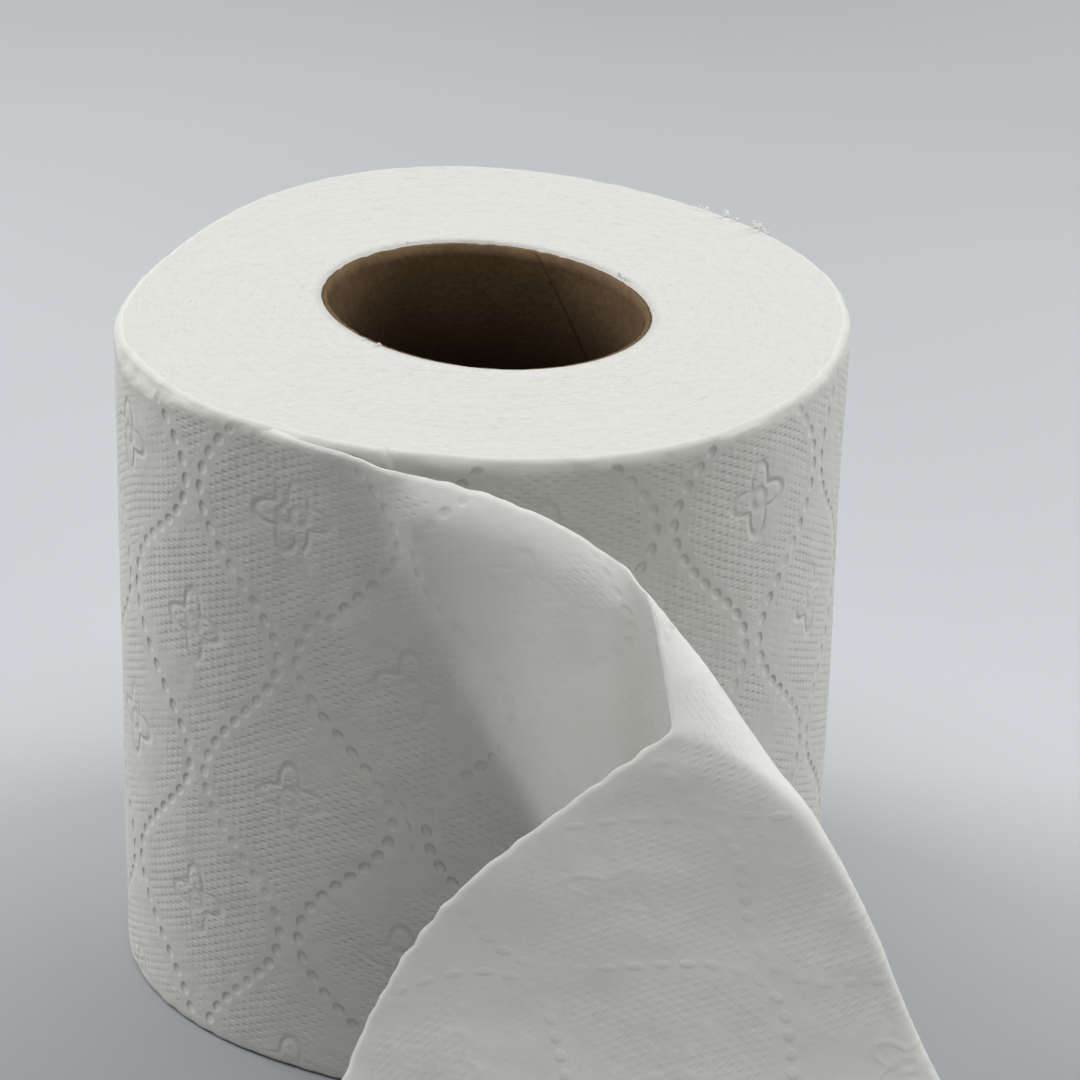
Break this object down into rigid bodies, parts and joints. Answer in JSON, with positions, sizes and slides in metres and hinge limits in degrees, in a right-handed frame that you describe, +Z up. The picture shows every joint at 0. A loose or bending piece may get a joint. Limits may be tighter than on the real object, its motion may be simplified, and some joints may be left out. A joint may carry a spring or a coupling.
{
  "type": "toilet paper roll",
  "caption": "Roll of embossed tissue wound on a card tube, standing on its end, with a loose tail folded down over itself in front.",
  "frame": {"origin": "on the axis of the roll and its core hole, level with the end that it stands on", "axes": "+Z up along the core hole's axis; the loose tail leaves the front of the roll, towards -Y"},
  "size_m": [0.1414, 0.2218, 0.1],
  "materials": {
    "card": "rough grey-brown card",
    "tissue": "soft matt white embossed tissue"
  },
  "bodies": {
    "root": {"cardboard_core": "card", "tissue_web": "tissue"}
  },
  "joints": []
}
